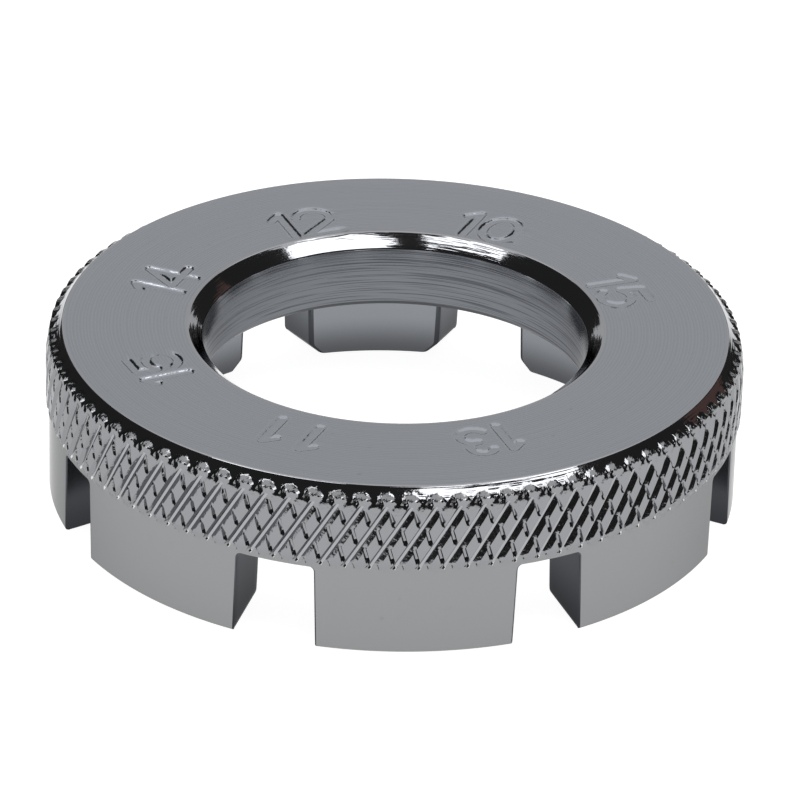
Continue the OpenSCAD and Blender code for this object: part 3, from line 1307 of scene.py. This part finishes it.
@dataclass
class Jaw:
    """One block of the skirt between two slots."""

    name: str
    node: str
    before: Slot
    after: Slot
    outer_r: float = 20.8
    inner_r: float = 16.8
    top_z: float = 5.3
    root_r: float = 0.35
    lean: float = 1.8
    foot_bevel: float = 0.20
    lead: float = 0.60
    lead_round: float = 0.10
    outer_round: float = 0.10
    inner_round: float = 0.34
    arc_steps: int = 28
    round_steps: int = 5
    wall_steps: int = 8
    lead_step: float = 0.07
    bevel_steps: int = 4
    middle_steps: int = 4
    root_steps: int = 7
    level_digits: int = 5
    crease: float = 40.0
    # Painted shade on the slot walls.
    wall_finish: ChromeFinish = SHADED_SLOT

    def half_width(self, slot: Slot, z: float) -> float:
        """Return half the width of a slot at a height."""
        root = self.top_z - self.root_r
        if z <= root:
            return slot.width / 2 + (root - z) * math.tan(math.radians(self.lean))
        return slot.width / 2 - self.root_r + math.sqrt(max(0.0, self.root_r ** 2 - (z - root) ** 2))

    def lead_in(self, distance: float, z: float) -> float:
        """Find how far the lead-in bevel takes a slot wall back.

        Args:
            distance: Distance from the bore axis along the slot.
            z: Height over the feet.

        Returns:
            The distance between the slot wall and its place without the bevel.
        """
        start = self.outer_r - self.foot_bevel
        over = self.lead * (start - distance) / (start - self.inner_r) - z
        return 0.5 * (over + math.hypot(over, self.lead_round))

    def outer_at(self, z: float) -> float:
        """Return the radius of the outer face at a height."""
        drop = max(0.0, self.foot_bevel - z)
        return self.outer_r - self.foot_bevel + math.sqrt(self.foot_bevel ** 2 - drop ** 2)

    @staticmethod
    def bend(start: np.ndarray, corner: np.ndarray, end: np.ndarray, steps: int) -> list[np.ndarray]:
        """Round a corner of an outline.

        Args:
            start: Where the round starts.
            corner: The sharp corner.
            end: Where the round ends.
            steps: Lines along the round.

        Returns:
            The points between the two ends.
        """
        shares = [k / steps for k in range(1, steps)]
        return [(1 - t) ** 2 * start + 2 * t * (1 - t) * corner + t * t * end for t in shares]

    def outline(self, z: float) -> list[np.ndarray]:
        """Draw the jaw's outline at a height, seen from above and anticlockwise.

        Args:
            z: The height over the feet.

        Returns:
            The points of the outline, from the outer face by one slot wall to the inner face
            and back by the other slot wall.
        """
        outer, inner = self.outer_at(z), self.inner_r

        def on_arc(radius: float, turn: float) -> np.ndarray:
            """Return a point at a radius and an angle in radians."""
            return np.array([radius * math.sin(turn), -radius * math.cos(turn)])

        walls = []
        for slot, side in ((self.before, 1.0), (self.after, -1.0)):
            turn = math.radians(slot.angle)
            half = self.half_width(slot, z)
            out, across = on_arc(1.0, turn), side * np.array([math.cos(turn), math.sin(turn)])
            far = math.sqrt(outer ** 2 - half ** 2)
            near = math.sqrt(inner ** 2 - half ** 2)
            corner_half = half + self.lead_in(near, z)
            corner = across * corner_half + out * math.sqrt(inner ** 2 - corner_half ** 2)
            stops = np.linspace(far - self.outer_round, near + self.inner_round, self.wall_steps)
            wall = [out * stop + across * (half + self.lead_in(stop, z)) for stop in stops]
            edge = out * far + across * half
            turns = [turn + side * math.asin(width / radius)
                     for width, radius in ((half, outer), (corner_half, inner))]
            walls.append((edge, wall, corner, turns))
        (edge_1, wall_1, corner_1, turns_1), (edge_2, wall_2, corner_2, turns_2) = walls
        gap, flare = self.outer_round / outer, self.inner_round / inner
        rim_ends = (turns_1[0] + gap, turns_2[0] - gap)
        rim = [on_arc(outer, t) for t in np.linspace(*rim_ends, self.arc_steps)]
        hollow_ends = (turns_2[1] - flare, turns_1[1] + flare)
        hollow = [on_arc(inner, t) for t in np.linspace(*hollow_ends, self.arc_steps)]
        return [
            *rim, *self.bend(rim[-1], edge_2, wall_2[0], self.round_steps),
            *wall_2, *self.bend(wall_2[-1], corner_2, hollow[0], self.round_steps),
            *hollow, *self.bend(hollow[-1], corner_1, wall_1[-1], self.round_steps),
            *wall_1[::-1], *self.bend(wall_1[0], edge_1, rim[0], self.round_steps),
        ]

    def levels(self) -> list[float]:
        """Return the heights at which the jaw's outline is drawn."""
        bevel = [self.foot_bevel * k / self.bevel_steps for k in range(self.bevel_steps)]
        lead_steps = math.ceil((self.lead + 2 * self.lead_round) / self.lead_step)
        lead = [self.foot_bevel + self.lead_step * k for k in range(lead_steps)]
        root = self.top_z - self.root_r
        rise = (root - lead[-1]) / self.middle_steps
        middle = [lead[-1] + rise * k for k in range(1, self.middle_steps)]
        turns = [math.radians(QUARTER_TURN * k / self.root_steps) for k in range(self.root_steps + 1)]
        upper = [root + self.root_r * math.sin(turn) for turn in turns]
        return sorted({round(z, self.level_digits) for z in bevel + lead + middle + upper})

    def build(self) -> Object:
        """Make the jaw.

        Returns:
            The jaw's object.
        """
        rings = [(z, self.outline(z)) for z in self.levels()]
        count = len(rings[0][1])
        points = np.array([[p[0], p[1], z] for z, ring in rings for p in ring])
        last = len(rings) - 1
        foot = tuple(reversed(range(count)))
        top = tuple(last * count + i for i in range(count))
        sides = grid_faces(len(rings), count, round_rows=False, round_columns=True)
        faces = [foot, *sides, top]
        mesh = new_mesh(self.name, points, faces)
        # The slot walls, the hollow and the corners carry painted shade.
        for finish in (BRIGHT_CHROME, self.wall_finish, SHADED_HOLLOW, SHADED_SLOT):
            mesh.materials.append(finish.material())
        rim = [JawLook.RIM] * (self.arc_steps - 1)
        wall = [JawLook.WALL] * (self.round_steps + self.wall_steps - 1)
        corner = [JawLook.CORNER] * (self.round_steps - 1)
        hollow = [JawLook.HOLLOW] * (self.arc_steps + 1)
        side_looks = [*rim, *wall, *corner, *hollow, *corner, *wall]
        looks = [JawLook.RIM, *side_looks * last, JawLook.RIM]
        mesh.polygons.foreach_set("material_index", looks)
        smooth_faces(mesh, self.crease)
        return add_object(self.name, mesh)


@dataclass
class Skirt:
    """The slotted skirt: eight slots and the jaws between them."""

    widths: dict[str, float] = field(default_factory=lambda: {
        "11": 4.7, "13": 4.0, "plain": 3.7, "15_slim": 3.25,
        "10": 5.2, "12": 4.4, "14": 3.7, "15": 3.45,
    })
    # The jaw whose slot walls get the lighter painted shade.
    light_jaw: str = "jaw_10_12"

    def jaws(self) -> list[Jaw]:
        """Return the jaws, each between one slot and the next."""
        names = list(self.widths)
        step = FULL_TURN / len(names)
        slots = [Slot(k * step, self.widths[name]) for k, name in enumerate(names)]
        slots.append(Slot(FULL_TURN, self.widths[names[0]]))
        jaws = []
        for k, name in enumerate(names):
            node = f"jaw_{name}_{names[(k + 1) % len(names)]}"
            finish = LESS_SHADED_SLOT if node == self.light_jaw else SHADED_SLOT
            jaws.append(Jaw(f"chromed_{node}", node, slots[k], slots[k + 1], wall_finish=finish))
        return jaws


@dataclass(frozen=True)
class Panel:
    """A soft light: the direction that it stands in, seen from the camera, and its size."""

    name: str
    direction: tuple[float, float, float]
    distance: float
    size: tuple[float, float]
    radiance: float
    along: tuple[float, float, float] = (1.0, 0.0, 0.0)
    colour: Colour = (1.0, 1.0, 1.0)
    seen_in_chrome: bool = True


PANELS = (
    Panel(
        "overhead_fill", direction=(0.0, 0.05, 1.0), distance=1.2, size=(2.2, 2.2), radiance=0.8,
        seen_in_chrome=False,
    ),
    Panel(
        "key_softbox", direction=(0.36, -0.24, 0.90), distance=0.7, size=(0.48, 0.26), radiance=3.4,
        along=(0.61, 0.34, 0.0),
    ),
    Panel(
        "side_softbox", direction=(-0.36, -0.11, 0.93), distance=0.7, size=(0.34, 0.09), radiance=3.2,
        along=(0.61, -0.34, 0.0),
    ),
    Panel("top_sheet", direction=(0.0, 0.35, 0.94), distance=1.1, size=(1.4, 0.9), radiance=1.0),
    Panel("back_sheet", direction=(0.0, 0.89, 0.46), distance=1.1, size=(1.25, 0.8), radiance=0.66),
    Panel(
        "warm_card", direction=(0.75, 0.54, 0.34), distance=0.8, size=(0.18, 0.30), radiance=0.20,
        colour=(0.50, 0.25, 0.20),
    ),
)


@dataclass
class Studio:
    """The floor, the soft lights and the camera."""

    azimuth: float = 18.5
    elevation: float = 27.42
    distance: float = 348.3
    aim_z: float = 10.6
    lens: float = 260.85
    sensor: float = 36.0
    roll: float = 1.6
    aim_pixel: tuple[float, float] = (395.7, 324.3)
    clip: tuple[float, float] = (0.01, 50.0)
    floor_side: float = 4.0
    floor_colour: Colour = (0.28, 0.28, 0.28)
    floor_rough: float = 0.9
    floor_glow: float = 0.95
    glow_reach: tuple[float, float] = (0.10, 0.45)
    glow_rest: float = 0.35
    room: float = 0.03

    def axes(self) -> tuple[Vector, Vector, Vector]:
        """Return the level directions to the right of the camera and away from it, and up."""
        turn = math.radians(self.azimuth)
        right = Vector((math.cos(turn), math.sin(turn), 0.0))
        away = Vector((-math.sin(turn), math.cos(turn), 0.0))
        return right, away, Vector((0.0, 0.0, 1.0))

    def seen_from_camera(self, direction: tuple[float, float, float]) -> Vector:
        """Return the direction in the scene of one to the right of the camera, away and up."""
        right, away, up = self.axes()
        return right * direction[0] + away * direction[1] + up * direction[2]

    def add_camera(self) -> Object:
        """Make the camera at the photograph's viewing angle.

        Returns:
            The camera's object.
        """
        right, away, up = self.axes()
        tilt = math.radians(self.elevation)
        forward = away * math.cos(tilt) - up * math.sin(tilt)
        high = away * math.sin(tilt) + up * math.cos(tilt)
        roll = math.radians(self.roll)
        across = right * math.cos(roll) + high * math.sin(roll)
        over = high * math.cos(roll) - right * math.sin(roll)
        pixels = self.lens / self.sensor * PHOTO_SIDE
        middle = PHOTO_SIDE / 2
        look = forward + across * ((middle - self.aim_pixel[0]) / pixels)
        look = (look - over * ((middle - self.aim_pixel[1]) / pixels)).normalized()
        x_axis = look.cross(over).normalized()
        y_axis = x_axis.cross(look)
        data = bpy.data.cameras.new("photo_camera")
        data.lens = self.lens
        data.sensor_width = self.sensor
        data.clip_start, data.clip_end = self.clip
        camera = add_object("photo_camera", data)
        place = up * self.aim_z * MM - forward * self.distance * MM
        turn = Matrix((x_axis, y_axis, -look)).transposed().to_4x4()
        camera.matrix_world = Matrix.Translation(place) @ turn
        bpy.context.scene.camera = camera
        return camera

    def add_floor(self) -> Object:
        """Make the pale floor under the feet.

        Returns:
            The floor's object.
        """
        half = self.floor_side / 2 / MM
        corners = np.array([
            [-half, -half, 0.0], [half, -half, 0.0], [half, half, 0.0], [-half, half, 0.0],
        ])
        floor = add_object("pale_floor", new_mesh("pale_floor", corners, [(0, 1, 2, 3)]))
        paint = bpy.data.materials.new("pale_floor")
        paint.use_nodes = True
        tree = paint.node_tree
        place = add_node(tree, "ShaderNodeTexCoord", {}).outputs["Object"]
        away = result_of(tree, "ShaderNodeVectorMath", {0: place}, operation="LENGTH")
        glow = result_of(tree, "ShaderNodeMapRange", {
            "Value": away, "From Min": self.glow_reach[0], "From Max": self.glow_reach[1],
            "To Min": 1.0, "To Max": self.glow_rest,
        })
        feed_node(tree, tree.nodes["Principled BSDF"], {
            "Base Color": (*self.floor_colour, 1.0), "Roughness": self.floor_rough,
            "Specular IOR Level": 0.0, "Emission Strength": self.floor_glow, "Emission Color": glow,
        })
        floor.data.materials.append(paint)
        return floor

    def add_panel(self, panel: Panel) -> None:
        """Hang one soft light.

        Args:
            panel: What to hang, and where.
        """
        aim = self.seen_from_camera(panel.direction).normalized()
        data = bpy.data.lights.new(panel.name, "AREA")
        data.shape = "RECTANGLE"
        data.size, data.size_y = panel.size
        data.color = panel.colour
        data.energy = panel.radiance * math.pi * panel.size[0] * panel.size[1]
        lamp = add_object(panel.name, data)
        wide = self.seen_from_camera(panel.along)
        wide = (wide - aim * wide.dot(aim)).normalized()
        turn = Matrix((wide, aim.cross(wide), aim)).transposed().to_4x4()
        lamp.matrix_world = Matrix.Translation(aim * panel.distance) @ turn
        lamp.visible_glossy = panel.seen_in_chrome

    def add_room(self) -> None:
        """Make the dim room round the table."""
        world = bpy.data.worlds.new("dim_room")
        world.use_nodes = True
        back = world.node_tree.nodes["Background"]
        back.inputs["Color"].default_value = (self.room, self.room, self.room, 1.0)
        bpy.context.scene.world = world

    def build(self) -> None:
        """Set up the camera, the floor and the lights."""
        scene = bpy.context.scene
        scene.view_settings.view_transform = "Standard"
        self.add_camera()
        self.add_room()
        for panel in PANELS:
            self.add_panel(panel)
        self.add_floor()


def clear_scene() -> None:
    """Remove what a new Blender file holds."""
    for thing in list(bpy.data.objects):
        bpy.data.objects.remove(thing)


def finish_piece(piece: Object, body: str, node: str) -> None:
    """Hand a piece to the frame and report it.

    Args:
        piece: The finished piece.
        body: The body that it moves with.
        node: The node that it stands for.
    """
    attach(piece, body)
    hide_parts(node)
    LOG.info("%s stands for %s, %d faces", piece.name, node, len(piece.data.polygons))


def main() -> None:
    """Build the wrench and its studio."""
    logging.basicConfig(level=logging.INFO, format="%(name)s: %(message)s")
    clear_scene()
    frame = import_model()
    body = next(iter(frame["bodies"]))
    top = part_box("top_ring")[1].z / MM
    knurl_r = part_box("knurled_band")[1].x / MM
    bore = next(mount for mount in frame["record"]["mounts"] if mount["name"] == "bore")
    ring = TopRing(height=top, bore_r=bore["dims"]["r_mm"])
    finish_piece(ring.build(), body, "top_ring")
    band = KnurledBand(knurl_r=knurl_r, height=top)
    finish_piece(band.build(), body, "knurled_band")
    for jaw in Skirt().jaws():
        finish_piece(jaw.build(), body, jaw.node)
    Studio().build()


if __name__ == "__main__":
    main()
